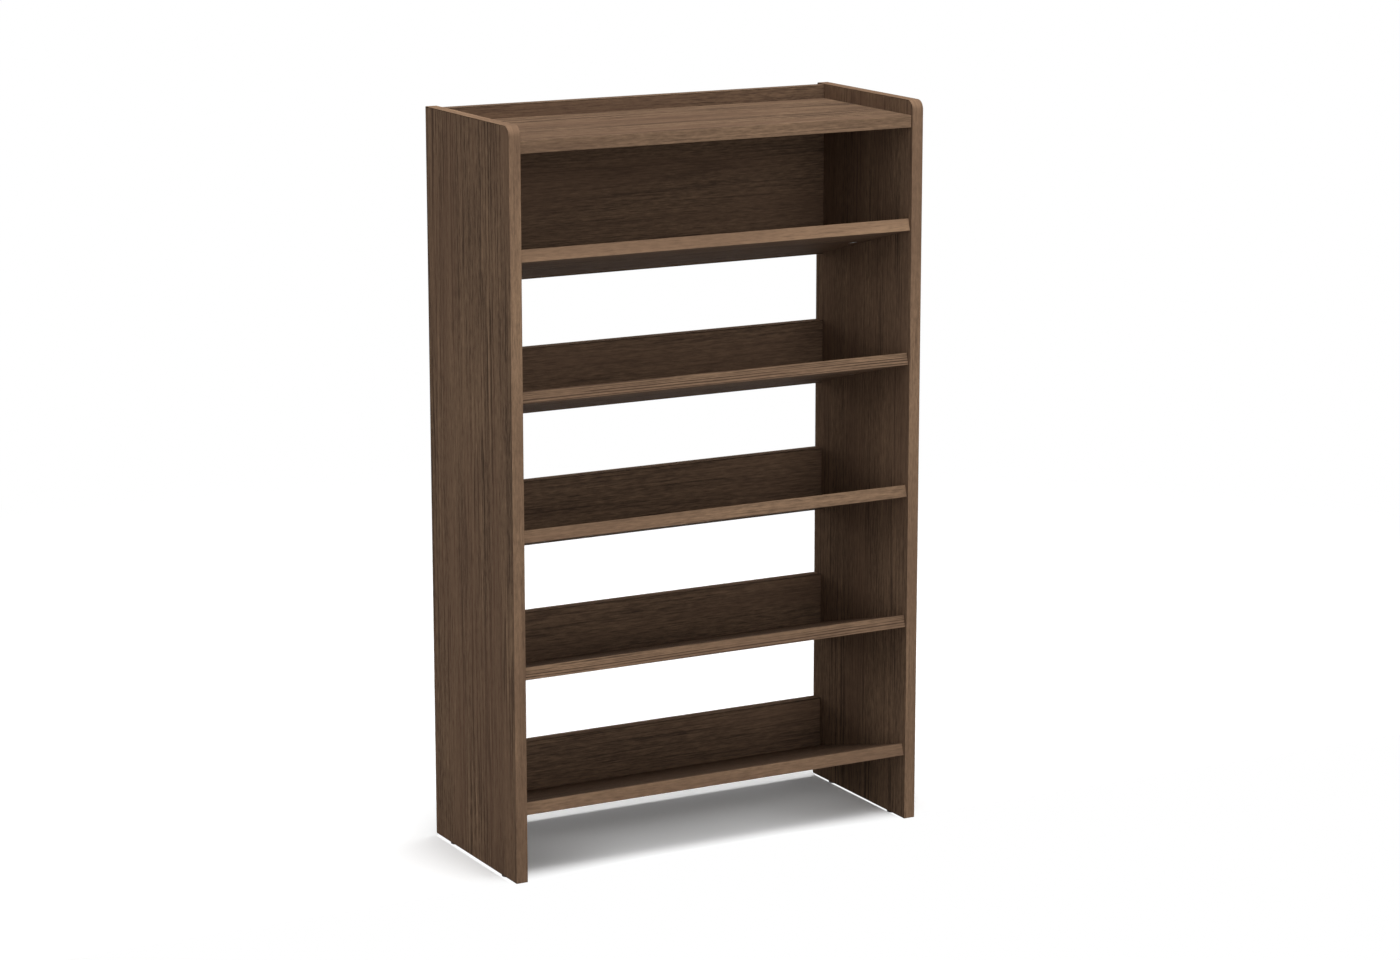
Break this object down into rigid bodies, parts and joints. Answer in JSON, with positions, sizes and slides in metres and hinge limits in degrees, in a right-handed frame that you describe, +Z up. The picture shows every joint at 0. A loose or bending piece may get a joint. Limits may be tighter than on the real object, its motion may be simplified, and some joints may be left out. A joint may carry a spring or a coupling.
{
  "type": "shoe rack",
  "caption": "Tall open free-standing rack with tilted shelves between two side panels, stop rails at the back and a shallow gallery on top, for keeping shoes in a hall.",
  "frame": {"origin": "on the floor under the middle of the rack's box", "axes": "+X to the right seen from the front, +Y to the back, +Z up; the front faces -Y"},
  "size_m": [0.67, 0.275, 1.0938],
  "materials": {
    "walnut_board": "satin walnut-look facing on board",
    "zinc_cam": "raw zinc casting",
    "steel_bolt": "zinc-plated steel",
    "beech_dowel": "bare beech",
    "glide_plastic": "dark moulded plastic"
  },
  "bodies": {
    "root": {"side_panel_left": "walnut_board", "side_panel_right": "walnut_board", "top_board": "walnut_board", "upper_back_panel": "walnut_board", "shelf_1": "walnut_board", "shelf_2": "walnut_board", "shelf_3": "walnut_board", "shelf_4": "walnut_board", "shelf_5": "walnut_board", "stop_rail_2": "walnut_board", "stop_rail_3": "walnut_board", "stop_rail_4": "walnut_board", "stop_rail_5": "walnut_board", "floor_glide_left_front": "glide_plastic", "floor_glide_left_back": "glide_plastic", "floor_glide_right_front": "glide_plastic", "floor_glide_right_back": "glide_plastic", "shelf_1_cam_left": "zinc_cam", "shelf_1_bolt_left": "steel_bolt", "shelf_1_dowel_left": "beech_dowel", "shelf_1_cam_right": "zinc_cam", "shelf_1_bolt_right": "steel_bolt", "shelf_1_dowel_right": "beech_dowel", "shelf_2_cam_left": "zinc_cam", "shelf_2_bolt_left": "steel_bolt", "shelf_2_dowel_left": "beech_dowel", "shelf_2_cam_right": "zinc_cam", "shelf_2_bolt_right": "steel_bolt", "shelf_2_dowel_right": "beech_dowel", "shelf_3_cam_left": "zinc_cam", "shelf_3_bolt_left": "steel_bolt", "shelf_3_dowel_left": "beech_dowel", "shelf_3_cam_right": "zinc_cam", "shelf_3_bolt_right": "steel_bolt", "shelf_3_dowel_right": "beech_dowel", "shelf_4_cam_left": "zinc_cam", "shelf_4_bolt_left": "steel_bolt", "shelf_4_dowel_left": "beech_dowel", "shelf_4_cam_right": "zinc_cam", "shelf_4_bolt_right": "steel_bolt", "shelf_4_dowel_right": "beech_dowel", "shelf_5_cam_left": "zinc_cam", "shelf_5_bolt_left": "steel_bolt", "shelf_5_dowel_left": "beech_dowel", "shelf_5_cam_right": "zinc_cam", "shelf_5_bolt_right": "steel_bolt", "shelf_5_dowel_right": "beech_dowel", "stop_rail_2_dowel_left": "beech_dowel", "stop_rail_2_dowel_right": "beech_dowel", "stop_rail_3_dowel_left": "beech_dowel", "stop_rail_3_dowel_right": "beech_dowel", "stop_rail_4_dowel_left": "beech_dowel", "stop_rail_4_dowel_right": "beech_dowel", "stop_rail_5_dowel_left": "beech_dowel", "stop_rail_5_dowel_right": "beech_dowel", "top_board_dowel_left": "beech_dowel", "top_board_dowel_right": "beech_dowel", "upper_back_panel_dowel_left": "beech_dowel", "upper_back_panel_dowel_right": "beech_dowel", "top_board_dowel_back": "beech_dowel"}
  },
  "joints": []
}
